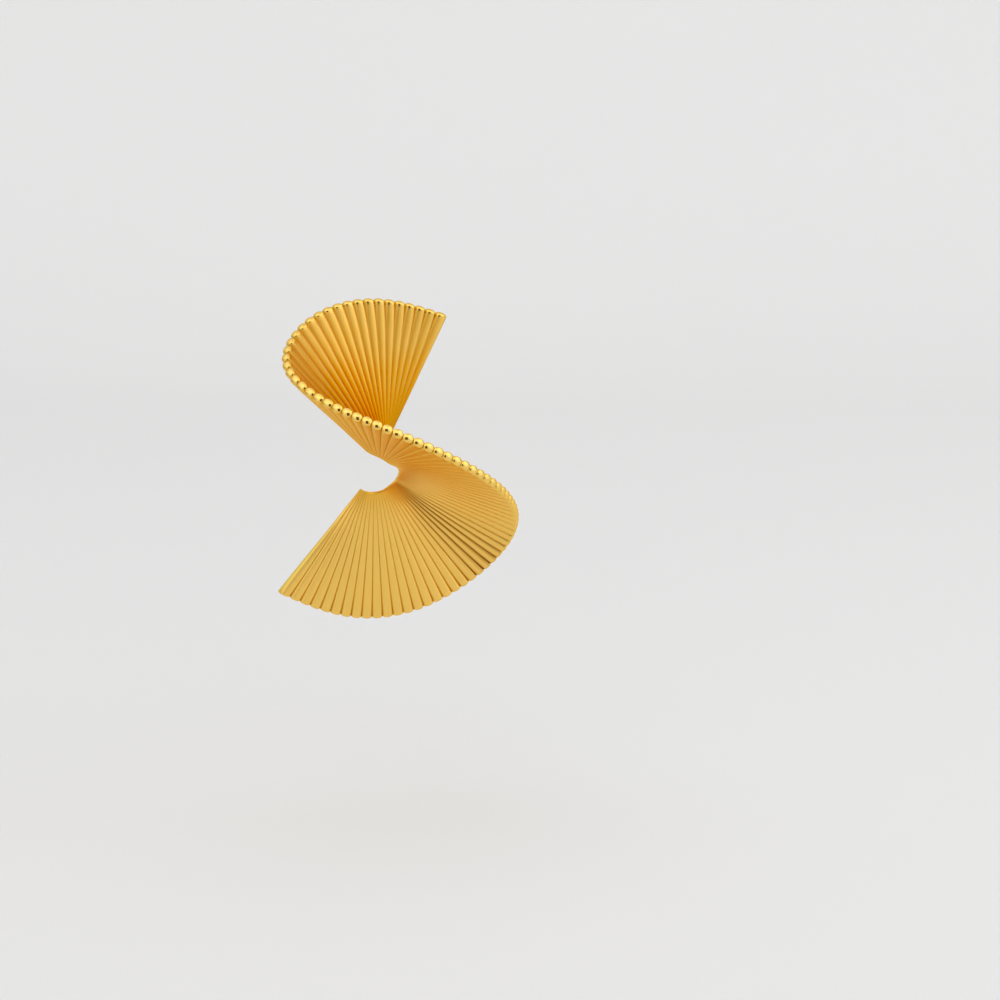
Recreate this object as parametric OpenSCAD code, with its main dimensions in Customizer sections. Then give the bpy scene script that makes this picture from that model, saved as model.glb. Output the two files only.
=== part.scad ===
// Fan earring: a twisted ribbon of tapered round ribs on an ear post, with a push-on ear nut.
// Millimetres, drawn as it hangs: Z is up, the front faces -Y and the post points back to +Y.
// The origin is where the ear lobe rests: the middle of the solder pad's ear-side face.

/* [Ribbon] */
// number of ribs soldered side by side
rib_count = 82; // [74:1:90]
// length that the ribs' reach is a share of
rib_length = 25; // [23:0.5:27]
// size that the inner edge's path is a share of
curl = 10; // [9.5:0.25:10.5]
// half the metal's thickness at the rounded, polished rib ends
bead_radius = 0.8; // [0.7:0.05:1]
// how far a rounded end stands out past its rib
bead_height = 0.4; // [0.3:0.05:0.6]
// half the metal's thickness along the smooth inner edge
edge_half = 0.32; // [0.25:0.01:0.4]
// how deep the valleys cut near the inner edge, as a share of a full round rib
edge_depth = 0.5; // [0.3:0.05:0.6]

/* [Ear post] */
// rib that carries the post, counted from the upper fan's free edge
post_rib = 3; // [3:1:6]
// how far along that rib the post sits, as a share of its length
post_share = 0.76; // [0.65:0.01:0.85]
// turn of the post away from straight back, in degrees
post_turn = -10; // [-14:1:-6]
// rise of the post towards its free end, in degrees
post_rise = 10; // [6:1:14]
// diameter of the post
post_diameter = 0.8; // [0.7:0.05:0.9]
// length of the post from the pad's ear-side face
post_length = 7.9; // [7:0.1:9]
// chamfer at the post's free end
post_tip = 0.2; // [0.1:0.05:0.25]
// diameter of the solder pad
pad_diameter = 2.8; // [2.4:0.1:3.2]
// height of the pad's ear-side face over the ribbon's middle
pad_stand = 1.5; // [1.4:0.05:1.8]
// chamfer around the pad
pad_chamfer = 0.25; // [0.1:0.05:0.4]

/* [Ear nut] */
// distance from the pad's ear-side face to the middle of the nut's ball
nut_rest = 3.6; // [3.3:0.1:4.5]
// diameter of the large ball
ball_diameter = 4.8; // [4.2:0.1:5.2]
// where the ball is cut flat on its ear side, as a share of its radius
ear_face_share = 0.92; // [0.8:0.01:0.96]
// diameter of the neck
neck_diameter = 2.8; // [2.4:0.1:3.2]
// radius of the hollow of the neck
neck_hollow = 0.4; // [0.3:0.05:0.6]
// diameter of the small end bulb
bulb_diameter = 3.6; // [3.2:0.1:4]
// radius of the bulb's rounded rim
bulb_round = 1.2; // [1:0.05:1.3]
// diameter of the dish in the bulb's end
dish_diameter = 2; // [1.6:0.1:2.4]
// depth of the dish
dish_depth = 0.4; // [0.2:0.05:0.6]
// clearance between post and bore, all round
bore_clearance = 0.05; // [0.03:0.01:0.1]

/* [Hidden] */
$fn = 40;
gold = [0.93, 0.69, 0.25];

// Rows that steer the ribbon, from the upper fan's free edge to the lower fan's free edge.
// root: the inner edge, in shares of curl. reach: a rib from root to bead, in shares of rib_length.
// root_x, root_y, root_z, reach_x, reach_y, reach_z
guide_rows = [
    [-0.15,  0.92,  0.45,  0.37, -0.06,  0.78],
    [-0.29,  0.46,  0.25, -0.01,  0.00,  1.02],
    [-0.32,  0.51,  0.28, -0.46, -0.23,  0.94],
    [-0.73,  0.72,  0.24, -0.56, -0.67,  0.62],
    [-0.63,  0.54,  0.07, -0.22, -0.91,  0.45],
    [-0.31,  0.59, -0.05,  0.07, -0.98,  0.35],
    [-0.21,  0.77, -0.19,  0.47, -0.89,  0.18],
    [-0.03,  0.87, -0.25,  0.71, -0.65, -0.03],
    [-0.04,  1.08, -0.44,  0.84, -0.35, -0.20],
    [-0.14,  1.18, -0.60,  0.84, -0.02, -0.42],
    [-0.20,  0.86, -0.60,  0.56,  0.28, -0.75],
    [-0.33,  0.69, -0.70,  0.18,  0.24, -0.93],
    [-0.62,  0.68, -0.72, -0.19,  0.18, -0.94],
    [-0.75,  0.98, -0.70, -0.57, -0.10, -0.71],
];
last_row = len(guide_rows) - 1;

// half the angle of a rib's round section that shows between its two valleys
valley_angle = 70;
// strips across each face of a rib
rib_strips = 4;
// shares of a rib's length at which its section is drawn
section_shares = [0, 0.1, 0.3, 0.6, 1];
// share of the rib's length at which the valleys reach their full depth
full_depth_share = 0.5;
// share of the rib's length that stands in for its root when the ribbon's facing is measured
facing_share = 0.2;
// how far the inner edge's rounding runs past the root, as a share of the rib's length
edge_round_share = 0.012;
// angles at which the rings of a bead are drawn
bead_angles = [30, 60];
// steps along the arcs of the nut's outline
ball_steps = 14;
neck_steps = 6;
bulb_steps = 10;

// smooth blend of four neighbouring rows, and its slope
function blend(f) = [(1 - f) ^ 3, 3 * f ^ 3 - 6 * f ^ 2 + 4, -3 * f ^ 3 + 3 * f ^ 2 + 3 * f + 1, f ^ 3] / 6;
function blend_slope(f) = [-(1 - f) ^ 2, 3 * f ^ 2 - 4 * f, -3 * f ^ 2 + 2 * f + 1, f ^ 2] / 2;
function row(i) =
    i < 0 ? 2 * guide_rows[0] - guide_rows[1]
    : i > last_row ? 2 * guide_rows[last_row] - guide_rows[last_row - 1]
    : guide_rows[i];
function cell(u) = min(max(floor(u * last_row), 0), last_row - 1);
function mixed(i, w) = w[0] * row(i - 1) + w[1] * row(i) + w[2] * row(i + 1) + w[3] * row(i + 2);
function guide(u) = mixed(cell(u), blend(u * last_row - cell(u)));
function guide_slope(u) = mixed(cell(u), blend_slope(u * last_row - cell(u)));

// a row's two halves in millimetres
function root_of(r) = curl * [r[0], r[1], r[2]];
function reach_of(r) = rib_length * [r[3], r[4], r[5]];

// middle of the ribbon at u across the ribs and s along them, and the way it faces there
function middle(u, s) = root_of(guide(u)) + s * reach_of(guide(u));
function unit(v) = v / norm(v);
function facing(u, s) =
    let (slope = guide_slope(u))
    unit(cross(root_of(slope) + max(s, facing_share) * reach_of(slope), reach_of(guide(u))));

// half thickness along a rib, and its share left at an angle round the rib's section
function half_at(s) = edge_half + (bead_radius - edge_half) * s;
function depth_at(s) = edge_depth + (1 - edge_depth) * min(s / full_depth_share, 1);
function round_share(s, angle) = 1 - depth_at(s) * (1 - cos(angle));

// columns across the ribs, from valley to valley: place and angle in the rib's section
column_count = rib_strips * rib_count;
function column_angle(c) = valley_angle * (2 * (c % rib_strips) / rib_strips - 1);
function column_place(c) =
    (floor(c / rib_strips) + (1 + sin(column_angle(c)) / sin(valley_angle)) / 2) / rib_count;
// the outer ribs are round on their free side too
free_side = (1 / sin(valley_angle) - 1) / 2 / rib_count;

// stations once round the section: front columns, free side, back columns, free side
// place, angle, face: 1 front, -1 back, 0 free side
stations = concat(
    [for (c = [0 : column_count]) [column_place(c), column_angle(c), 1]],
    [[1 + free_side, 90, 0]],
    [for (c = [column_count : -1 : 0]) [column_place(c), column_angle(c), -1]],
    [[-free_side, 90, 0]]
);
station_count = len(stations);
function front(c) = c;
function back(c) = 2 * column_count + 2 - c;
last_side = column_count + 1;
first_side = station_count - 1;

function section(s) = [
    for (p = stations)
        middle(p[0], s) + p[2] * half_at(s) * round_share(s, p[1]) * facing(p[0], s)
];
sections = [for (s = section_shares) section(s)];
section_count = len(section_shares);
inner_edge = [for (c = [0 : column_count]) middle(column_place(c), -edge_round_share)];

// each rib ends in a bead that starts on the last section
function rib_ring(r) = concat(
    [for (c = [0 : rib_strips]) front(rib_strips * r + c)],
    r == rib_count - 1 ? [last_side] : [],
    [for (c = [rib_strips : -1 : 0]) back(rib_strips * r + c)],
    r == 0 ? [first_side] : []
);
function rib_middle(r) = (r + 0.5) / rib_count;
function bead_point(r, start, angle) =
    let (centre = middle(rib_middle(r), 1))
    centre + cos(angle) * (start - centre) + bead_height * sin(angle) * unit(reach_of(guide(rib_middle(r))));
function bead(r) = concat(
    [for (a = bead_angles) for (k = rib_ring(r)) bead_point(r, sections[section_count - 1][k], a)],
    [bead_point(r, middle(rib_middle(r), 1), 90)]
);

// where each part's points start in the list of all points
edge_start = section_count * station_count;
beads_start = edge_start + len(inner_edge);
ring_size = 2 * rib_strips + 2;
bead_size = len(bead_angles) * ring_size + 1;
function bead_start(r) = beads_start + r * bead_size + (r > 0 ? len(bead_angles) : 0);

function quad(a, b, c, d) = [[a, c, b], [a, d, c]];
function belt(from, to) = [
    for (k = [0 : len(from) - 1])
        let (n = (k + 1) % len(from))
        each quad(from[k], from[n], to[n], to[k])
];
function ring_at(start, size) = [for (k = [0 : size - 1]) start + k];
function bead_faces(r) =
    let (
        size = len(rib_ring(r)),
        base = [for (k = rib_ring(r)) (section_count - 1) * station_count + k],
        low = ring_at(bead_start(r), size),
        high = ring_at(bead_start(r) + size, size),
        tip = bead_start(r) + 2 * size
    )
    concat(
        belt(base, low),
        belt(low, high),
        [for (k = [0 : size - 1]) [high[k], tip, high[(k + 1) % size]]]
    );
side_faces = [
    for (j = [0 : section_count - 2])
        each belt(ring_at(j * station_count, station_count), ring_at((j + 1) * station_count, station_count))
];
edge_faces = concat(
    [
        for (c = [0 : column_count - 1])
            each concat(
                quad(edge_start + c, edge_start + c + 1, front(c + 1), front(c)),
                quad(edge_start + c + 1, edge_start + c, back(c), back(c + 1))
            )
    ],
    [
        [edge_start, front(0), first_side],
        [edge_start, first_side, back(0)],
        [edge_start + column_count, last_side, front(column_count)],
        [edge_start + column_count, back(column_count), last_side],
    ]
);

module ribbon()
    polyhedron(
        points = concat(
            [for (s = sections) each s],
            inner_edge,
            [for (r = [0 : rib_count - 1]) each bead(r)]
        ),
        faces = concat(side_faces, edge_faces, [for (r = [0 : rib_count - 1]) each bead_faces(r)]),
        convexity = 12
    );

// the post's seat on the ribbon, and the way the post points
post_seat = middle((post_rib - 0.5) / rib_count, post_share);
post_way = [cos(post_rise) * sin(post_turn), cos(post_rise) * cos(post_turn), sin(post_rise)];

// stands what is drawn along +Z from the pad's ear-side face on the post's axis
module along_post()
    rotate([post_rise - 90, 0, -post_turn])
        children();

module post_and_pad() {
    post_radius = post_diameter / 2;
    pad_radius = pad_diameter / 2;
    rotate_extrude()
        polygon([
            [0, -pad_stand],
            [pad_radius, -pad_stand],
            [pad_radius, -pad_chamfer],
            [pad_radius - pad_chamfer, 0],
            [post_radius, 0],
            [post_radius, post_length - post_tip],
            [post_radius - post_tip, post_length],
            [0, post_length],
        ]);
}

module fan()
    color(gold)
        union() {
            translate(-post_seat - pad_stand * post_way)
                ribbon();
            along_post()
                post_and_pad();
        }

// an arc of the nut's outline: middle, radius, first and last angle, number of steps
function arc(centre_r, centre_z, radius, first, last, steps) = [
    for (i = [0 : steps])
        let (angle = first + (last - first) * i / steps)
        [centre_r + radius * cos(angle), centre_z + radius * sin(angle)]
];

module ear_nut() {
    ball_radius = ball_diameter / 2;
    ear_face = ear_face_share * ball_radius;
    bore_radius = post_diameter / 2 + bore_clearance;
    rim_radius = bulb_diameter / 2 - bulb_round;
    hollow_middle = neck_diameter / 2 + neck_hollow;
    hollow_z = sqrt((ball_radius + neck_hollow) ^ 2 - hollow_middle ^ 2);
    ball_end = atan2(hollow_z, hollow_middle);
    bulb_rise = sqrt((bulb_round + neck_hollow) ^ 2 - (hollow_middle - rim_radius) ^ 2);
    bulb_z = hollow_z + bulb_rise;
    bulb_start = atan2(bulb_rise, hollow_middle - rim_radius);
    dish_angle = acos((dish_diameter / 2 - rim_radius) / bulb_round);
    dish_z = bulb_z + bulb_round * sin(dish_angle);
    color(gold)
        along_post()
            translate([0, 0, nut_rest])
                rotate_extrude()
                    polygon(concat(
                        [[bore_radius, -ear_face]],
                        arc(0, 0, ball_radius, -asin(ear_face_share), ball_end, ball_steps),
                        arc(hollow_middle, hollow_z, neck_hollow, 180 + ball_end, 180 - bulb_start, neck_steps),
                        arc(rim_radius, bulb_z, bulb_round, -bulb_start, dish_angle, bulb_steps),
                        [[bore_radius, dish_z - dish_depth]]
                    ));
}

fan();
ear_nut();
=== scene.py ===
"""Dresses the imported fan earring: a fine ribbed ribbon, its ear post and its ear nut, in plated gold.

Every length in the named sizes is in millimetres; make_mesh turns points into metres.
"""

import bpy
import numpy as np
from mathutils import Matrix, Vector
from mathutils.bvhtree import BVHTree


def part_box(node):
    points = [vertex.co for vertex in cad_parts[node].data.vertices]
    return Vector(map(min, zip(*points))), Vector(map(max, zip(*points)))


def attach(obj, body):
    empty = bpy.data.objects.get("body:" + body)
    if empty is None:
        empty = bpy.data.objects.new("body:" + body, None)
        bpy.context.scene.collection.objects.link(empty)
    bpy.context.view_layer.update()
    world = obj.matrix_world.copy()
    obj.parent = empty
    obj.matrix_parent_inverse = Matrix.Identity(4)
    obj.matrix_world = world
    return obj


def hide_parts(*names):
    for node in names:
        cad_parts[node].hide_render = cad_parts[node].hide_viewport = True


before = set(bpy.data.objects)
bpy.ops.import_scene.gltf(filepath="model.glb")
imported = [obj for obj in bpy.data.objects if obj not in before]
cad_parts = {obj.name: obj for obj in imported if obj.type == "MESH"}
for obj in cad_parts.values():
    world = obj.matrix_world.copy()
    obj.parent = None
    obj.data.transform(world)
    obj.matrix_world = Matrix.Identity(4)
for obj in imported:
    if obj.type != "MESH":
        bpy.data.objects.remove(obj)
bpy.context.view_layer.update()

MM = 0.001
SEED = 7
WELD_DIGITS = 6

# named sizes, as in the part's source
RIB_COUNT = 82
RIB_LENGTH = 25.0
CURL = 10.0
BEAD_RADIUS = 0.8
BEAD_HEIGHT = 0.4
EDGE_HALF = 0.32
EDGE_DEPTH = 0.5
FULL_DEPTH_SHARE = 0.5
FACING_SHARE = 0.2
EDGE_ROUND = 0.012
POST_RIB = 3
POST_SHARE = 0.76
POST_TURN = np.radians(-10.0)
POST_RISE = np.radians(10.0)
POST_RADIUS = 0.4
POST_LENGTH = 7.9
POST_TIP = 0.2
PAD_RADIUS = 1.4
PAD_STAND = 1.5
PAD_CHAMFER = 0.25
NUT_REST = 3.6
BALL_RADIUS = 2.4
EAR_FACE = 0.92 * BALL_RADIUS
NECK_RADIUS = 1.4
NECK_HOLLOW = 0.4
BULB_RADIUS = 1.8
BULB_ROUND = 1.2
DISH_RADIUS = 1.0
DISH_DEPTH = 0.4
BORE_RADIUS = 0.45

# how finely the ribbon and the nut's dish are drawn
STRIPS = 14
SIDE_STEPS = 4
ROWS_ALONG = 24
ROW_CROWDING = 0.55
EDGE_STEPS = 3
BEAD_STEPS = 8
DISH_STEPS = 8

# the round of a rib's section: its valleys, and how square its shoulders are
VALLEY_ANGLE = np.radians(70.0)
SIDE_BULGE = 0.10
VALLEY_DEPTH = 0.9
END_DEPTH = 0.3
END_DEEPENS = 12
SHALLOWER_UPPER = 0.43
SHALLOWER_ROOT = 0.2
ROOT_FADE = 0.05
BODY_SQUARENESS = 3.0
ROUNDER_UPPER = 0.9
END_SQUARENESS = 2.4
END_EASES = 6

# the domes on the ribs' outer ends
TALLER_DOME = 0.2
DOME_SQUARENESS = 2.2
SOFTER_DOME = 0.4
DOME_JITTER = 0.02
POLISHED_END = 0.4

# the post's solder fillet, and what the UV maps run for each rib and for each radian round the post
SOLDER_FILLET = 0.18
END_PITCH = 1.87
RADIAN_LENGTH = 2.0

# stretches across the ribs in shares of them all: where a change starts and how far it takes to be whole,
# towards the first rib where it is minus
UPPER_FAN = (0.34, -0.08)
UPPER_HALF = (0.50, -0.08)
BAND_START = (0.2, 0.06)
BAND_END = (0.52, -0.1)
LOWER_ROOTS = (0.72, 0.06)

# the same in rib numbers
TALLER_RIBS = (20, -5)
RIGHT_RIM = (39.5, 6)

# places across the ribs that have a middle and a width: the first as a share, the others in rib numbers
UNDER_FOLD = (0.6, 0.06)
BEHIND_FOLD = (60.2, 2.4)
UPPER_CAVE = (18, 5)
SOFT_DOMES = (30.5, 12)

# stretches along the ribs in shares of their length: where a change starts and how far it takes
LOWER_ROOTS_END = (0.3, -0.3)
BACK_ROOTS_END = (0.5, -0.5)
FOLD_GROWS = (0, 0.2)
CAVE_GROWS = (0, 0.5)
LIT_FLANK_GROWS = (0.2, 0.4)

# places along the ribs that have a middle and a width, in shares of their length
PATCH_ALONG = (0.22, 0.2)
CALM_ALONG = (0, 0.4)

# how strongly each place polishes the gold, or tints it with painted shade, painted reflection or a painted
# highlight
VALLEY_SHARPNESS = 8
DOME_VALLEY_SHARPNESS = 4
DOME_VALLEY_FADE = 0.7
CALM_VALLEYS = 0.5
SHELTER_START = 0.05
SHELTER_SPAN = 0.32
FLANK_REFLECTION = 0.22
BAND_REFLECTION = 0.75
BAND_REFLECTION_FADE = 0.3
LOWER_ROOTS_SHADE = 0.55
FOLD_SHADE = 1.3
CAVE_SHADE = 0.55
BACK_ROOTS_SHADE = 0.45
PATCH_HIGHLIGHT = 0.9
LIT_FLANK_HIGHLIGHT = 0.45
TIP_HIGHLIGHT = 0.55
END_POLISH = 0.75
TIP_POLISH = 0.25
RIM_DULLS = 0.6

# root x, y, z in shares of CURL, then reach x, y, z in shares of RIB_LENGTH
GUIDE = np.array([
    [-0.15, 0.92, 0.45, 0.37, -0.06, 0.78],
    [-0.29, 0.46, 0.25, -0.01, 0.00, 1.02],
    [-0.32, 0.51, 0.28, -0.46, -0.23, 0.94],
    [-0.73, 0.72, 0.24, -0.56, -0.67, 0.62],
    [-0.63, 0.54, 0.07, -0.22, -0.91, 0.45],
    [-0.31, 0.59, -0.05, 0.07, -0.98, 0.35],
    [-0.21, 0.77, -0.19, 0.47, -0.89, 0.18],
    [-0.03, 0.87, -0.25, 0.71, -0.65, -0.03],
    [-0.04, 1.08, -0.44, 0.84, -0.35, -0.20],
    [-0.14, 1.18, -0.60, 0.84, -0.02, -0.42],
    [-0.20, 0.86, -0.60, 0.56, 0.28, -0.75],
    [-0.33, 0.69, -0.70, 0.18, 0.24, -0.93],
    [-0.62, 0.68, -0.72, -0.19, 0.18, -0.94],
    [-0.75, 0.98, -0.70, -0.57, -0.10, -0.71],
])
LAST_ROW = len(GUIDE) - 1
SIZED_ROWS = GUIDE * np.array([CURL] * 3 + [RIB_LENGTH] * 3)
ROWS = np.vstack([
    2 * SIZED_ROWS[0] - SIZED_ROWS[1],
    SIZED_ROWS,
    2 * SIZED_ROWS[-1] - SIZED_ROWS[-2],
])


def ramp(value, start, length):
    """Straight rise from 0 at the start to 1 after this length, which is minus for a rise the other way."""
    return np.clip((value - start) / length, 0, 1)


def hump(value, centre, width, power=2):
    """1 at the centre, and e to the minus of the distance in widths, raised to the power, beside it."""
    return np.exp(-((value - centre) / width) ** power)


def unit(v):
    """Each vector divided by its own length."""
    return v / np.linalg.norm(v, axis=-1, keepdims=True)


# the ribbon's middle surface
def blended(place, slope=False):
    """Cubic blend of the four guide rows around each place across the ribs (0 to 1), or its slope."""
    at = np.asarray(place) * LAST_ROW
    cell = np.clip(np.floor(at), 0, LAST_ROW - 1).astype(int)
    f = at - cell
    if slope:
        shares = np.stack([-(1 - f) ** 2, 3 * f ** 2 - 4 * f, -3 * f ** 2 + 2 * f + 1, f ** 2]) / 2
    else:
        second = 3 * f ** 3 - 6 * f ** 2 + 4
        third = -3 * f ** 3 + 3 * f ** 2 + 3 * f + 1
        shares = np.stack([(1 - f) ** 3, second, third, f ** 3]) / 6
    return sum(shares[k][..., None] * ROWS[cell + k] for k in range(4))


def middle(place, along):
    """Root of the rib at this place plus its reach times the share along it."""
    row = blended(place)
    return row[..., :3] + np.asarray(along)[..., None] * row[..., 3:]


def facing(place, along):
    """Cross product of the ribbon's slope across the ribs and the rib's own direction, at unit length."""
    row, slope = blended(place), blended(place, slope=True)
    share = np.maximum(along, FACING_SHARE)[..., None]
    return unit(np.cross(slope[..., :3] + share * slope[..., 3:], row[..., 3:]))


POST_WAY = np.array([
    np.cos(POST_RISE) * np.sin(POST_TURN),
    np.cos(POST_RISE) * np.cos(POST_TURN),
    np.sin(POST_RISE),
])
PAD_PLACE = middle(np.array((POST_RIB - 0.5) / RIB_COUNT), np.array(POST_SHARE))
SHIFT = -PAD_PLACE - PAD_STAND * POST_WAY

# how the ribbon's own shelter is measured: cells across and along, rays from each point, their length, how
# far off the ribbon they start, and a slanted direction that turns a normal into two sideways ones
SHELTER_CELLS = (96, 10)
SHELTER_RAYS = 40
SHELTER_REACH = 30.0
RAY_LIFT = 0.4
GOLDEN_ANGLE = 2.39996
SLANT = np.array([0.3, 0.5, 0.8])


def met_by_rays():
    """Share of the rays from each point of a coarse grid on the ribbon that meet the ribbon again, for the
    front and the back. The rays of a point turn by the golden angle and lean by the root of their number."""
    u, s = np.meshgrid(*(np.linspace(0, 1, n + 1) for n in SHELTER_CELLS), indexing="ij")
    points, normals = middle(u, s).reshape(-1, 3), facing(u, s).reshape(-1, 3)
    corner = np.arange(len(points)).reshape(u.shape)
    faces = np.stack([corner[:-1, :-1], corner[1:, :-1], corner[1:, 1:], corner[:-1, 1:]], -1)
    tree = BVHTree.FromPolygons(points.tolist(), faces.reshape(-1, 4).tolist())
    k = np.arange(SHELTER_RAYS) + 0.5
    lean, turn = np.sqrt(k / SHELTER_RAYS), k * GOLDEN_ANGLE
    ray = np.stack([lean * np.cos(turn), lean * np.sin(turn), np.sqrt(1 - lean ** 2)])[..., None, None]
    met = np.empty((2, len(points)))
    for face, sign in enumerate((1, -1)):
        up = sign * normals
        across = unit(np.cross(up, SLANT))
        ways = ray[0] * across + ray[1] * np.cross(up, across) + ray[2] * up
        starts = (points + RAY_LIFT * up).tolist()
        met[face] = np.mean([
            [tree.ray_cast(a, b, SHELTER_REACH)[0] is not None for a, b in zip(starts, way.tolist())]
            for way in ways
        ], axis=0)
    return met.reshape(2, *u.shape)


def shelter(place, along, side):
    """Share of the rays that meet the ribbon again, blended between the coarse grid's four nearest points."""
    met = met_by_rays()
    a, b = np.clip(place, 0, 1) * SHELTER_CELLS[0], np.clip(along, 0, 1) * SHELTER_CELLS[1]
    i = np.minimum(a.astype(int), SHELTER_CELLS[0] - 1)
    j = np.minimum(b.astype(int), SHELTER_CELLS[1] - 1)
    fa, fb = a - i, b - j
    face = np.where(side >= 0, 0, 1)
    near = met[face, i, j] * (1 - fb) + met[face, i, j + 1] * fb
    far = met[face, i + 1, j] * (1 - fb) + met[face, i + 1, j + 1] * fb
    return near * (1 - fa) + far * fa


# mesh helpers
def make_mesh(name, points, quads, triangles=(), sharp=50.0):
    """A smooth mesh object from points in millimetres, sharp where its faces turn by more than this angle."""
    faces = np.asarray(quads).tolist() + np.asarray(triangles).tolist()
    mesh = bpy.data.meshes.new(name)
    mesh.from_pydata((points * MM).tolist(), [], faces)
    mesh.update()
    piece = bpy.data.objects.new(name, mesh)
    bpy.context.scene.collection.objects.link(piece)
    mesh.polygons.foreach_set("use_smooth", np.ones(len(mesh.polygons), dtype=bool))
    mesh.set_sharp_from_angle(angle=np.radians(sharp))
    return piece


def signed_volume(points, quads):
    """Sum over the quads, each cut in two, of the box product of their corners, over six."""
    a, b, c, d = (points[quads[:, k]] for k in range(4))
    halves = np.einsum("ij,ij->i", a, np.cross(b, c)) + np.einsum("ij,ij->i", a, np.cross(c, d))
    return halves.sum() / 6


# the three corners that a quad keeps when its corner 0, 1, 2 or 3 lies on the next one
CORNERS_KEPT = np.array([[1, 2, 3], [0, 2, 3], [0, 1, 3], [0, 1, 2]])


def welded(points, quads):
    """Merges points that lie on each other and turns the faces outwards. Quads with two corners in one
    become triangles, and flatter ones go. Gives points, quads, triangles and which points were used."""
    places = np.round(points, WELD_DIGITS)
    _, first, number = np.unique(places, axis=0, return_index=True, return_inverse=True)
    points = points[first]
    quads = number.reshape(-1)[quads]
    if signed_volume(points, quads) < 0:
        quads = quads[:, ::-1]
    same = quads == np.roll(quads, -1, axis=1)
    pinched = same.sum(1) == 1
    corners = CORNERS_KEPT[np.argmax(same[pinched], axis=1)]
    triangles = np.take_along_axis(quads[pinched], corners, axis=1)
    return points, quads[~same.any(1)], triangles, first


def put_attribute(piece, name, values):
    """Stores one number per point for the materials to read."""
    layer = piece.data.attributes.new(name, "FLOAT", "POINT")
    layer.data.foreach_set("value", np.ascontiguousarray(values, dtype=np.float32))


def put_uv(piece, across, along):
    """Stores a UV map in millimetres from one pair of numbers per point."""
    layer = piece.data.uv_layers.new(name="metal")
    corner = np.empty(len(piece.data.loops), dtype=np.int32)
    piece.data.loops.foreach_get("vertex_index", corner)
    pairs = np.stack([across[corner], along[corner]], 1)
    layer.data.foreach_set("uv", pairs.astype(np.float32).ravel())


def ring_belt(from_ring, to_ring):
    """Quads between two closed rings of point numbers."""
    a, b = np.asarray(from_ring), np.asarray(to_ring)
    return np.stack([a, np.roll(a, -1), np.roll(b, -1), b], 1)


# the ribbed ribbon
def stations():
    """Once round the ribbon: an arc of each rib on the front, half a turn round the last rib's free side,
    the same arcs on the back, and half a turn round the first rib's. Gives each station's place across the
    ribs, its angle on its rib, its side from 1 on the front to -1 on the back, and each stretch's numbers."""
    columns = np.arange(STRIPS * RIB_COUNT + 1)
    rib = np.minimum(columns // STRIPS, RIB_COUNT - 1)
    angle = VALLEY_ANGLE * (2 * (columns - STRIPS * rib) / STRIPS - 1)
    place = (rib + 0.5 + 0.5 * np.sin(angle) / np.sin(VALLEY_ANGLE)) / RIB_COUNT
    turn = np.linspace(0, np.pi, 2 * SIDE_STEPS + 1)[1:-1]
    free = ((1 / np.sin(VALLEY_ANGLE) - 1) / 2 + SIDE_BULGE) / RIB_COUNT
    at_side = VALLEY_ANGLE + 0 * turn
    front, sides = len(columns), len(turn)
    stretches = {
        "front": columns,
        "last_side": front + np.arange(sides),
        "back": 2 * front + sides - 1 - columns,
        "first_side": 2 * front + sides + np.arange(sides),
    }
    return (
        np.concatenate([place, 1 + free * np.sin(turn), place[::-1], -free * np.sin(turn)]),
        np.concatenate([angle, at_side, angle[::-1], at_side]),
        np.concatenate([1 + 0 * place, np.cos(turn), -1 - 0 * place, -np.cos(turn)]),
        stretches,
    )


def rows_along():
    """Shares along the ribs: the inner edge's quarter round, then rows that crowd towards both ends, with two
    more where the polish starts. With them goes what the quarter round leaves of the thickness at each."""
    edge_turn = np.linspace(np.pi / 2, 0, EDGE_STEPS + 1)[:-1]
    even = np.linspace(0, 1, ROWS_ALONG + 1)
    body = ROW_CROWDING * (0.5 - 0.5 * np.cos(np.pi * even)) + (1 - ROW_CROWDING) * even
    body = np.sort(np.concatenate([body, 1 - POLISHED_END / RIB_LENGTH * np.array([1.0, 2.0])]))
    along = np.concatenate([-EDGE_ROUND * np.sin(edge_turn), body])
    return along, np.concatenate([np.cos(edge_turn), np.ones_like(body)])


def taller(rib):
    """How much taller than the solid's the dome at this rib number is; its foot is as much lower."""
    return TALLER_DOME * ramp(rib, *TALLER_RIBS)


def valleys(u, s):
    """Depth of the valleys as a share of the half thickness, and the power that makes a rib's shoulders
    squarer. The depth grows from the roots, and both change once more by a power near the outer ends."""
    share = np.clip(s, 0, 1)
    full = VALLEY_DEPTH - SHALLOWER_UPPER * ramp(u, *UPPER_FAN)
    at_root = EDGE_DEPTH - SHALLOWER_ROOT * (ramp(u, *UPPER_FAN) + hump(u, *UNDER_FOLD, power=4))
    depth = at_root + (full - at_root) * np.minimum(share / FULL_DEPTH_SHARE, 1)
    depth = depth * ramp(s, -EDGE_ROUND, ROOT_FADE) + (1 + END_DEPTH - full) * share ** END_DEEPENS
    body = BODY_SQUARENESS - ROUNDER_UPPER * ramp(u, *UPPER_FAN)
    return depth, body + (END_SQUARENESS - body) * share ** END_EASES


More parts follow.
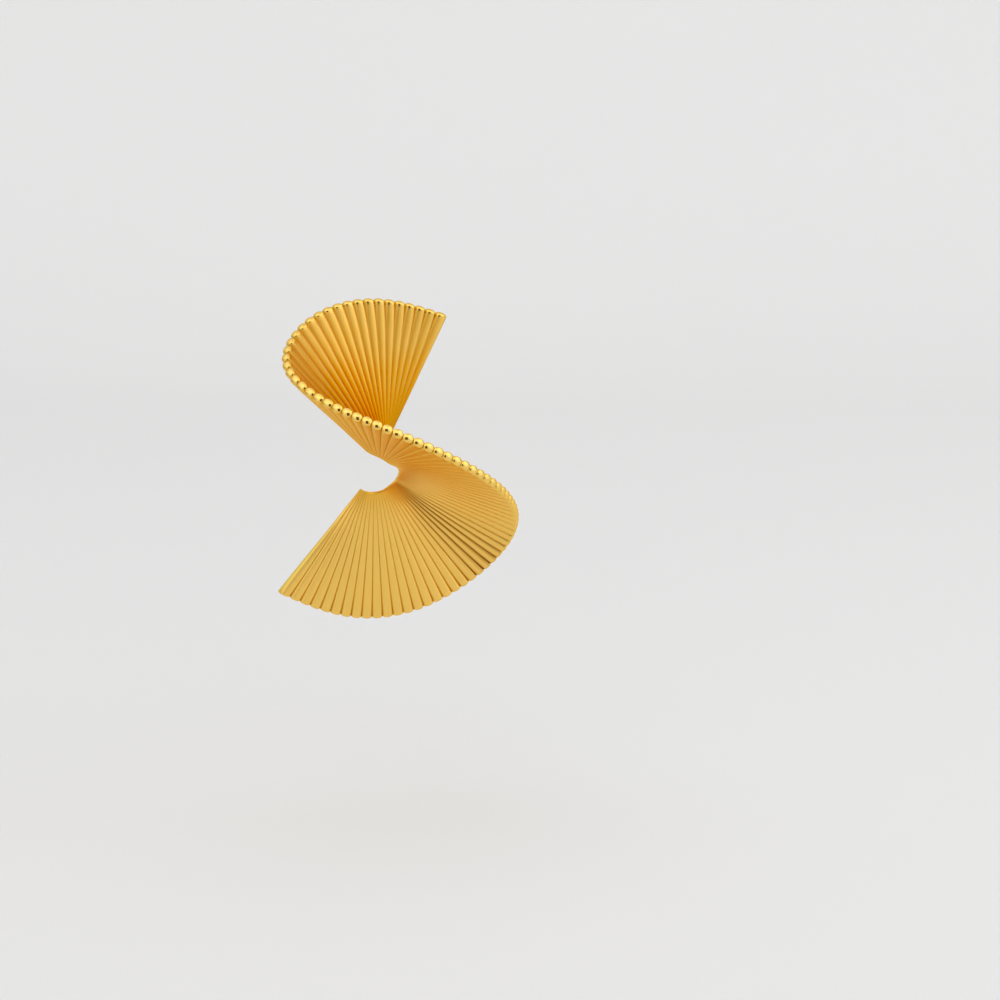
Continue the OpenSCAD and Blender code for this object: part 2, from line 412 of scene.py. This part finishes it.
def ribbon_facts(u, s, angle, side, depth, reach, rib_tone):
    """What the gold reads at each point of the ribbon. The shade in the valleys is painted shade, stronger
    the farther down between two ribs a point lies, and along_rib and across_ribs are the UV map in
    millimetres. Polish is on the outer ends. Rib_tone is each rib's own tone. A redder, darker tint is
    painted reflection and shade where the ribbon mirrors itself, on one flank of the upper ribs and on the
    band, and painted shade on the lower roots. Shade is painted shade behind the fold, on the back of the
    upper fan and at its back roots. The painted highlight, a paler gold, is on the patch under the fold and
    on the lit flanks of the upper ribs."""
    rib = u * RIB_COUNT
    is_front, is_back = side > 0, side < 0
    to_valley = np.abs(np.sin(angle)) / np.sin(VALLEY_ANGLE)
    flank = np.where(is_back, np.sin(angle) / np.sin(VALLEY_ANGLE), 0)
    upper = ramp(u, *UPPER_HALF)
    calm = CALM_VALLEYS * hump(u, *UNDER_FOLD, power=4) * hump(s, *CALM_ALONG)
    to_end = (1 - s) * reach
    # painted reflection and shade: a redder, darker gold in the upper half where rays from the ribbon meet it
    # again, and on one flank of each rib on the back; painted reflection on the band and painted shade on the
    # lower roots
    mirrored = (shelter(u, s, side) - SHELTER_START) / SHELTER_SPAN + FLANK_REFLECTION * flank
    band = is_front * ramp(u, *BAND_START) * ramp(u, *BAND_END)
    lower_roots = ramp(u, *LOWER_ROOTS) * ramp(s, *LOWER_ROOTS_END) ** 2
    warmth = upper * np.clip(mirrored, 0, 1) + (BAND_REFLECTION - BAND_REFLECTION_FADE * s) * band
    fold = is_front * hump(rib, *BEHIND_FOLD) * to_valley ** 2 * ramp(s, *FOLD_GROWS)
    cave = is_back * hump(rib, *UPPER_CAVE) * ramp(s, *CAVE_GROWS)
    back_roots = is_back * ramp(u, *UPPER_FAN) * ramp(s, *BACK_ROOTS_END)
    shade = FOLD_SHADE * fold + CAVE_SHADE * cave + BACK_ROOTS_SHADE * back_roots
    # painted highlight: a paler gold on the patch under the fold and on the lit flanks of the upper ribs
    patch = is_front * hump(u, *UNDER_FOLD) * hump(s, *PATCH_ALONG)
    lit_flank = upper * np.clip(-flank, 0, 1) * ramp(s, *LIT_FLANK_GROWS)
    end_polish = END_POLISH - RIM_DULLS * ramp(rib, *RIGHT_RIM)
    own = np.clip(np.floor(rib), 0, RIB_COUNT - 1).astype(int)
    return {
        # painted shade in the valleys between the ribs
        "valley": to_valley ** VALLEY_SHARPNESS * depth * (1 - calm),
        "along_rib": s * reach,
        "across_ribs": rib * END_PITCH,
        "polish": end_polish * ramp(to_end, 2 * POLISHED_END, -POLISHED_END),
        "rib_tone": rib_tone[own],
        "warmth": np.clip(warmth + LOWER_ROOTS_SHADE * lower_roots, 0, 1),
        "shade": np.clip(shade, 0, 1),
        "pale": PATCH_HIGHLIGHT * patch + LIT_FLANK_HIGHLIGHT * lit_flank,
    }


def dome_facts(rib, at_end, angle, reach, turn):
    """What the gold reads on a rib's dome. Tone, the painted reflection and shade tint and the painted shade
    go on from the rib's last section, at_end. The painted shade in the gaps between the domes, the tint and
    the shade fade with the cosine towards the tip; polish and the painted highlight grow with the sine."""
    fade, grow = np.cos(turn)[:, None], np.sin(turn)[:, None]
    rim = ramp(rib, *RIGHT_RIM)
    to_valley = (np.abs(np.sin(angle)) / np.sin(VALLEY_ANGLE)) ** DOME_VALLEY_SHARPNESS
    return {
        # painted shade in the gaps between the domes
        "valley": (1 - RIM_DULLS * rim) * to_valley * fade ** DOME_VALLEY_FADE,
        "along_rib": reach + BEAD_RADIUS * turn[:, None],
        "across_ribs": at_end["across_ribs"] + 0 * fade,
        "polish": END_POLISH - RIM_DULLS * rim + TIP_POLISH * (1 - rim) * grow + 0 * reach,
        "rib_tone": at_end["rib_tone"] + 0 * fade,
        # painted reflection and shade carried onto the dome
        "warmth": at_end["warmth"] * fade,
        "shade": at_end["shade"] * fade,
        # painted highlight on the dome's tip
        "pale": TIP_HIGHLIGHT * (1 - rim) * grow + 0 * reach,
    }


def dome(rib, base, size, turn):
    """A rib's rounded end: its last section drawn in towards the rib's middle line by a power of the
    cosine, and pushed out along the rib by a power of the sine."""
    reach = blended(np.array(rib / RIB_COUNT))[3:]
    centre = middle(np.array(rib / RIB_COUNT), 1 - taller(rib) / np.linalg.norm(reach))
    squareness = DOME_SQUARENESS - SOFTER_DOME * hump(rib, *SOFT_DOMES, power=4)
    inward, outward = np.cos(turn) ** (2 / squareness), np.sin(turn) ** (2 / squareness)
    inward[-1] = 0.0
    height = (BEAD_HEIGHT + taller(rib)) * size
    return centre + inward[:, None, None] * (base - centre) + height * outward[:, None, None] * unit(reach)


def ribbon():
    """The ribbed ribbon in one piece. A point of its section is the middle surface plus the facing times half
    the thickness times what the round rib leaves of it at that angle: one less the depth times the fall of
    a superellipse. Each rib is closed at its outer end by a dome, and the inner edge by a quarter round."""
    rng = np.random.default_rng(SEED)
    rib_tone = rng.uniform(-1, 1, RIB_COUNT)
    dome_size = 1 + DOME_JITTER * rng.uniform(-1, 1, RIB_COUNT)

    place, angle, side, stretches = stations()
    along, squeeze = rows_along()
    reach = np.linalg.norm(blended(place)[:, 3:], axis=1)
    s = along[:, None] * (1 - taller(place * RIB_COUNT) / reach)
    u = place + 0 * s
    depth, power = valleys(u, s)
    half = EDGE_HALF + (BEAD_RADIUS - EDGE_HALF) * np.clip(s, 0, 1)
    left = 1 - depth * (1 - (1 - np.abs(np.sin(angle)) ** power) ** (1 / power))
    height = squeeze[:, None] * side * half * left
    points = middle(u, s) + height[..., None] * facing(u, s)

    grid = np.arange(u.size).reshape(u.shape)
    quads = [ring_belt(one, other) for one, other in zip(grid[:-1], grid[1:])]
    all_points = [points.reshape(-1, 3)]
    facts = ribbon_facts(u, s, angle, side + 0 * s, depth, reach, rib_tone)
    stored = {name: [values.reshape(-1)] for name, values in facts.items()}

    start = u.size
    turn = np.linspace(0, np.pi / 2, BEAD_STEPS + 1)[1:]
    for r in range(RIB_COUNT):
        own = slice(STRIPS * r, STRIPS * (r + 1) + 1)
        ring = np.concatenate([
            stretches["front"][own],
            stretches["last_side"] if r == RIB_COUNT - 1 else [],
            stretches["back"][own][::-1],
            stretches["first_side"] if r == 0 else [],
        ]).astype(int)
        numbers = start + np.arange(BEAD_STEPS * len(ring)).reshape(BEAD_STEPS, len(ring))
        quads.append(ring_belt(grid[-1, ring], numbers[0]))
        quads += [ring_belt(one, other) for one, other in zip(numbers[:-1], numbers[1:])]
        all_points.append(dome(r + 0.5, points[-1, ring], dome_size[r], turn).reshape(-1, 3))
        at_end = {name: values[-1, ring] for name, values in facts.items()}
        for name, values in dome_facts(r + 0.5, at_end, angle[ring], reach[ring], turn).items():
            stored[name].append(values.reshape(-1))
        start += numbers.size

    points, quads, triangles, used = welded(np.concatenate(all_points) + SHIFT, np.concatenate(quads))
    piece = make_mesh("ribbed_ribbon", points, quads, triangles)
    values = {name: np.concatenate(parts)[used] for name, parts in stored.items()}
    for name in values:
        put_attribute(piece, name, values[name])
    put_uv(piece, values["across_ribs"], values["along_rib"])
    return piece


# turned pieces on the post's axis
def arc(middle_r, middle_z, radius, first, last, steps):
    """Points of a circle's arc in the outline's plane: radius from the axis and height along it."""
    a = np.radians(np.linspace(first, last, steps + 1))
    return np.stack([middle_r + radius * np.cos(a), middle_z + radius * np.sin(a)], 1)


def turned(name, outline, closed, around):
    """An outline of (radius, height) carried round the post's axis; a closed outline makes a ring shape,
    an open one starts and ends on the axis. The UV map runs round the axis and along the outline."""
    a = np.linspace(0, 2 * np.pi, around, endpoint=False)
    side = np.array([np.cos(POST_TURN), -np.sin(POST_TURN), 0.0])
    up = np.cross(POST_WAY, side)
    spoke = np.cos(a)[:, None] * side + np.sin(a)[:, None] * up
    r, z = outline[:, 0, None, None], outline[:, 1, None, None]
    points = (r * spoke + z * POST_WAY).reshape(-1, 3)
    grid = np.arange(len(points)).reshape(-1, around)
    belts = [ring_belt(one, other) for one, other in zip(grid[:-1], grid[1:])]
    if closed:
        belts.append(ring_belt(grid[-1], grid[0]))
    points, quads, triangles, used = welded(points, np.concatenate(belts))
    piece = make_mesh(name, points, quads, triangles, sharp=40.0)
    steps = np.linalg.norm(np.diff(outline, axis=0), axis=1)
    length = np.concatenate([[0], np.cumsum(steps)])
    put_uv(piece, np.tile(RADIAN_LENGTH * a, len(outline))[used], np.repeat(length, around)[used])
    return piece


def post_and_pad():
    """The solder pad's disc with a soft shoulder, a small solder fillet, then the straight post and its
    rounded tip."""
    outline = np.vstack([
        [[0, -PAD_STAND], [PAD_RADIUS, -PAD_STAND]],
        arc(PAD_RADIUS - PAD_CHAMFER, -PAD_CHAMFER, PAD_CHAMFER, 0, 90, steps=6),
        arc(POST_RADIUS + SOLDER_FILLET, SOLDER_FILLET, SOLDER_FILLET, 270, 180, steps=5),
        arc(POST_RADIUS - POST_TIP, POST_LENGTH - POST_TIP, POST_TIP, 0, 90, steps=6),
        [[0, POST_LENGTH]],
    ])
    return turned("post_and_pad", outline, closed=False, around=64)


def ear_nut():
    """Ball, hollow neck, bulb and dish in one outline of tangent arcs, with the bore down the middle."""
    rim = BULB_RADIUS - BULB_ROUND
    hollow = NECK_RADIUS + NECK_HOLLOW
    hollow_z = np.sqrt((BALL_RADIUS + NECK_HOLLOW) ** 2 - hollow ** 2)
    ball_end = np.degrees(np.arctan2(hollow_z, hollow))
    bulb_rise = np.sqrt((BULB_ROUND + NECK_HOLLOW) ** 2 - (hollow - rim) ** 2)
    bulb_z = hollow_z + bulb_rise
    bulb_start = np.degrees(np.arctan2(bulb_rise, hollow - rim))
    dish_angle = np.degrees(np.arccos((DISH_RADIUS - rim) / BULB_ROUND))
    dish_z = bulb_z + BULB_ROUND * np.sin(np.radians(dish_angle))
    ear_angle = np.degrees(np.arcsin(EAR_FACE / BALL_RADIUS))
    dish_r = np.linspace(DISH_RADIUS, BORE_RADIUS, DISH_STEPS + 1)[1:]
    dish_share = (DISH_RADIUS - dish_r) / (DISH_RADIUS - BORE_RADIUS)
    dish = np.stack([dish_r, dish_z - DISH_DEPTH * (1 - (1 - dish_share) ** 2)], 1)
    outline = np.vstack([
        [[BORE_RADIUS, -EAR_FACE]],
        arc(0, 0, BALL_RADIUS, -ear_angle, ball_end, steps=40),
        arc(hollow, hollow_z, NECK_HOLLOW, 180 + ball_end, 180 - bulb_start, steps=12)[1:],
        arc(rim, bulb_z, BULB_ROUND, -bulb_start, dish_angle, steps=24)[1:],
        dish,
    ])
    outline[:, 1] += NUT_REST
    return turned("gourd_nut", outline, closed=True, around=128)


# finishes, with the painted shade, painted reflection and painted highlight in the gold's colour

# how much each rib's tone, the soft clouds and the painted shade in the valleys change the gold's colour
TONE_SPREAD = 0.04
CLOUD_SPREAD = 0.16
VALLEY_SHADE_STRENGTH = 0.65
CLOUD_SCALE = 220.0

# the gold's grain: brushed along the ribs on the UV map in millimetres, and fine frost on the piece
BRUSH_STRETCH = (2.2, 0.12, 1.0)
BRUSH_SCALE = 1.6
FROST_SCALE = 9000.0
SATIN_SPREAD = 0.16
POLISH_CALMS = 0.85
GRAIN_HEIGHT = 0.00002
EDGE_TINT = (1.0, 0.82, 0.5, 1)


class Nodes:
    """A short way to add shader nodes and join their sockets. The colours of a Mix node are its inputs 6
    and 7 and its output 2; its numbers are inputs 2 and 3 and output 0."""

    def __init__(self, name):
        self.material = bpy.data.materials.new(name)
        self.material.use_nodes = True
        self.tree = self.material.node_tree
        self.shader = self.tree.nodes["Principled BSDF"]

    def add(self, kind, inputs, **settings):
        """A node of this kind with its inputs linked to a socket or set to a value."""
        node = self.tree.nodes.new(kind)
        for key, value in settings.items():
            setattr(node, key, value)
        for key, value in inputs.items():
            if isinstance(value, bpy.types.NodeSocket):
                self.tree.links.new(value, node.inputs[key])
            else:
                node.inputs[key].default_value = value
        return node

    def fact(self, name):
        """The number of this name that is stored on the mesh's points."""
        return self.add("ShaderNodeAttribute", {}, attribute_name=name).outputs["Fac"]

    def noise(self, place, scale, detail, roughness=0.5):
        """A cloudy pattern from 0 to 1."""
        inputs = {"Vector": place, "Scale": scale, "Detail": detail, "Roughness": roughness}
        return self.add("ShaderNodeTexNoise", inputs).outputs["Fac"]

    def scaled_sum(self, value, factor, more, **settings):
        """The value times the factor, plus more."""
        inputs = {0: value, 1: factor, 2: more}
        return self.add("ShaderNodeMath", inputs, operation="MULTIPLY_ADD", **settings).outputs[0]

    def mix(self, share, one, other, blend="MIX"):
        """One colour with a share of the other mixed in."""
        inputs = {0: share, 6: one, 7: other}
        return self.add("ShaderNodeMix", inputs, data_type="RGBA", blend_type=blend).outputs[2]

    def feed(self, key, socket):
        """Joins a socket to the shader."""
        self.tree.links.new(socket, self.shader.inputs[key])


def gold(name, light, valley_shade_and_mottle, warm, highlight_colour, dim, satin, polished, grain):
    """Plated gold. The colour goes from light towards a redder gold where the mesh holds the painted
    reflection and shade tint, is multiplied towards a darker colour by the painted shade in the valleys, by
    each rib's tone and by soft clouds, and by dim in the painted shade, and turns to a paler gold where the
    mesh holds the painted highlight. The roughness goes from satin to polished where it says polish, and the
    grain gives way there."""
    n = Nodes(name)
    place = n.add("ShaderNodeTexCoord", {})
    cloud = n.noise(place.outputs["Object"], CLOUD_SCALE, detail=3.0)
    mottle = n.scaled_sum(cloud, CLOUD_SPREAD, -CLOUD_SPREAD / 2)
    drift = n.scaled_sum(n.fact("rib_tone"), TONE_SPREAD, mottle)
    # painted shade: the valleys, with each rib's tone and the soft clouds, multiply the gold towards a darker
    # colour
    amount = n.scaled_sum(n.fact("valley"), VALLEY_SHADE_STRENGTH, drift, use_clamp=True)
    # painted reflection and shade: a redder gold where the ribbon mirrors itself, on the band and at the
    # lower roots
    base = n.mix(n.fact("warmth"), light, warm)
    sheltered = n.mix(amount, base, valley_shade_and_mottle, "MULTIPLY")
    shaded = n.mix(n.fact("shade"), sheltered, dim, "MULTIPLY")
    # painted highlight: a paler gold on the patch under the fold, the lit flanks and the dome tips
    n.feed("Base Color", n.mix(n.fact("pale"), shaded, highlight_colour))

    polish = n.fact("polish")
    stretch = n.add("ShaderNodeMapping", {"Vector": place.outputs["UV"], "Scale": BRUSH_STRETCH})
    brush = n.noise(stretch.outputs[0], BRUSH_SCALE, detail=5.0, roughness=0.65)
    frost = n.noise(place.outputs["Object"], FROST_SCALE, detail=2.0)
    body = n.scaled_sum(brush, SATIN_SPREAD, satin - SATIN_SPREAD / 2)
    rough = n.add("ShaderNodeMix", {0: polish, 2: body, 3: polished}, data_type="FLOAT")
    n.feed("Roughness", rough.outputs[0])
    height = n.scaled_sum(brush, 1.0, frost)
    strength = n.scaled_sum(polish, -POLISH_CALMS * grain, grain)
    bump = n.add("ShaderNodeBump", {"Height": height, "Strength": strength, "Distance": GRAIN_HEIGHT})
    n.feed("Normal", bump.outputs[0])
    n.shader.inputs["Metallic"].default_value = 1.0
    n.shader.inputs["Specular Tint"].default_value = EDGE_TINT
    return n.material


def floor_paint():
    """Matt light grey with a faint, broad unevenness."""
    n = Nodes("pale_floor_paint")
    place = n.add("ShaderNodeTexCoord", {})
    cloud = n.noise(place.outputs["Object"], scale=3.0, detail=2.0)
    n.feed("Base Color", n.mix(cloud, one=(0.77, 0.77, 0.77, 1), other=(0.79, 0.79, 0.785, 1)))
    n.shader.inputs["Roughness"].default_value = 0.9
    return n.material


def card_paper():
    """Dull, very dark brown paper."""
    n = Nodes("black_card_paper")
    n.shader.inputs["Base Color"].default_value = (0.10, 0.055, 0.02, 1)
    n.shader.inputs["Roughness"].default_value = 0.8
    return n.material


ribbed_gold = gold(
    "ribbed_gold",
    light=(0.95, 0.61, 0.14, 1),
    # the darker colour of the painted shade in the valleys
    valley_shade_and_mottle=(0.74, 0.93, 0.80, 1),
    # the redder colour of the painted reflection and shade
    warm=(0.83, 0.40, 0.0, 1),
    # the paler colour of the painted highlight
    highlight_colour=(1.0, 0.70, 0.21, 1),
    dim=(0.62, 0.50, 0.34, 1),
    satin=0.42,
    polished=0.08,
    grain=0.5,
)
polished_gold = gold(
    "polished_gold",
    light=(0.92, 0.60, 0.15, 1),
    valley_shade_and_mottle=(0.80, 0.85, 0.9, 1),
    warm=(0.92, 0.60, 0.15, 1),
    highlight_colour=(0.92, 0.60, 0.15, 1),
    dim=(1, 1, 1, 1),
    satin=0.16,
    polished=0.12,
    grain=0.08,
)

fan_piece = ribbon()
fan_piece.data.materials.append(ribbed_gold)
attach(fan_piece, "earring")
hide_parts("fan")

post_piece = post_and_pad()
post_piece.data.materials.append(polished_gold)
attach(post_piece, "earring")

nut_piece = ear_nut()
nut_piece.data.materials.append(polished_gold)
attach(nut_piece, "nut")
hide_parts("ear_nut")


# stage, light and camera
FLOOR_DROP = 32.0
FLOOR = float(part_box("fan")[0][2]) / MM - FLOOR_DROP
FLOOR_NEAR = -1400.0
FLOOR_SIDE = 1600.0
WALL_PLACE = 900.0
WALL_TOP = 1500.0
WALL_BEND = 400.0
FLOOR_STEPS = 12
BEND_STEPS = 24
CARD_ABOVE_FLOOR = 1.0

CAMERA_PITCH = np.radians(10.2)
CAMERA_FROM_MIDDLE = np.array([17.24, -427.6, 69.9])
SENSOR_WIDTH = 36.0
FOCAL_SHARE = 2.513

# the tent's light: heights between which it grows, and how near the camera's side its front glow is whole
TENT_HORIZON = -0.1
TENT_OVERHEAD = 0.9
GLOW_EDGE = float(np.cos(np.radians(75.0)))
GLOW_CORE = float(np.cos(np.radians(30.0)))


def backdrop():
    """A floor that curves up into a wall: one profile of floor, quarter round and wall carried sideways."""
    a = np.linspace(0, np.pi / 2, BEND_STEPS + 1)
    floor_end = WALL_PLACE - WALL_BEND
    floor_y = np.linspace(FLOOR_NEAR, floor_end, FLOOR_STEPS + 1)[:-1]
    profile = np.vstack([
        np.stack([floor_y, 0 * floor_y], 1),
        np.stack([floor_end + WALL_BEND * np.sin(a), WALL_BEND - WALL_BEND * np.cos(a)], 1),
        [[WALL_PLACE, WALL_TOP]],
    ])
    y, z = np.repeat(profile, 2, axis=0).T
    points = np.stack([np.tile([-FLOOR_SIDE, FLOOR_SIDE], len(profile)), y, z + FLOOR], 1)
    k = 2 * np.arange(len(profile) - 1)
    piece = make_mesh("pale_backdrop", points, np.stack([k, k + 1, k + 3, k + 2], 1))
    piece.data.materials.append(floor_paint())


def black_card(left, right, far, near, top):
    """A dark card that stands in front of the object, low and to one side, with a foot on the floor towards
    the object. Left and right are shares of the distance. The gold mirrors it, and no camera sees it."""
    foot = FLOOR + CARD_ABOVE_FLOOR
    points = np.array([
        [left * far, -far, foot],
        [right * far, -far, foot],
        [right * far, -far, top],
        [left * far, -far, top],
        [left * near, -near, foot],
        [right * near, -near, foot],
    ])
    piece = make_mesh("black_card", points, [(0, 1, 2, 3), (0, 4, 5, 1)])
    piece.data.materials.append(card_paper())
    piece.visible_camera = False
    piece.visible_shadow = False
    piece.visible_diffuse = False


def soft_light(name, place, size, power):
    """A square area light, size and place in millimetres, turned to the frame's origin."""
    data = bpy.data.lights.new(name, "AREA")
    data.shape = "SQUARE"
    data.size = size * MM
    data.energy = power
    lamp = bpy.data.objects.new(name, data)
    lamp.location = Vector(place) * MM
    lamp.rotation_euler = (-Vector(place)).to_track_quat("-Z", "Y").to_euler()
    bpy.context.scene.collection.objects.link(lamp)


def tent_light(low, high, front):
    """White light from all round that grows smoothly from the horizon to overhead, and grows by the front
    strength, on a smooth step of the dot product, towards the side that the camera is on."""
    world = bpy.data.worlds.new("light_tent")
    world.use_nodes = True
    tree = world.node_tree
    back = tree.nodes["Background"]
    back.inputs["Color"].default_value = (1, 1, 1, 1)
    way = tree.nodes.new("ShaderNodeTexCoord")
    parts = tree.nodes.new("ShaderNodeSeparateXYZ")
    height = tree.nodes.new("ShaderNodeMapRange")
    near = tree.nodes.new("ShaderNodeVectorMath")
    glow = tree.nodes.new("ShaderNodeMapRange")
    total = tree.nodes.new("ShaderNodeMath")
    near.operation = "DOT_PRODUCT"
    near.inputs[1].default_value = tuple(unit(CAMERA_FROM_MIDDLE))
    total.operation = "ADD"
    height_steps = (TENT_HORIZON, TENT_OVERHEAD, low, high)
    glow_steps = (GLOW_EDGE, GLOW_CORE, 0.0, front)
    for node, steps in ((height, height_steps), (glow, glow_steps)):
        node.interpolation_type = "SMOOTHSTEP"
        for key, value in zip(("From Min", "From Max", "To Min", "To Max"), steps):
            node.inputs[key].default_value = value
    tree.links.new(way.outputs["Generated"], parts.inputs[0])
    tree.links.new(way.outputs["Generated"], near.inputs[0])
    tree.links.new(parts.outputs["Z"], height.inputs["Value"])
    tree.links.new(near.outputs["Value"], glow.inputs["Value"])
    tree.links.new(height.outputs[0], total.inputs[0])
    tree.links.new(glow.outputs[0], total.inputs[1])
    tree.links.new(total.outputs[0], back.inputs["Strength"])
    bpy.context.scene.world = world


backdrop()
soft_light("key_light", place=(-350, -250, 600), size=800, power=0.4)
soft_light("side_light", place=(650, -150, 250), size=700, power=1.1)
tent_light(low=0.43, high=0.92, front=0.45)
black_card(left=-0.12, right=0.54, far=440.0, near=330.0, top=205.0)
bpy.context.scene.view_settings.view_transform = "Standard"

camera_data = bpy.data.cameras.new("camera")
camera_data.sensor_width = SENSOR_WIDTH
camera_data.lens = FOCAL_SHARE * SENSOR_WIDTH
camera_data.clip_start = 0.01
camera_data.clip_end = 20.0
camera = bpy.data.objects.new("camera", camera_data)
camera.location = Vector((CAMERA_FROM_MIDDLE + SHIFT) * MM)
camera.rotation_euler = (np.pi / 2 - CAMERA_PITCH, 0, 0)
bpy.context.scene.collection.objects.link(camera)
bpy.context.scene.camera = camera
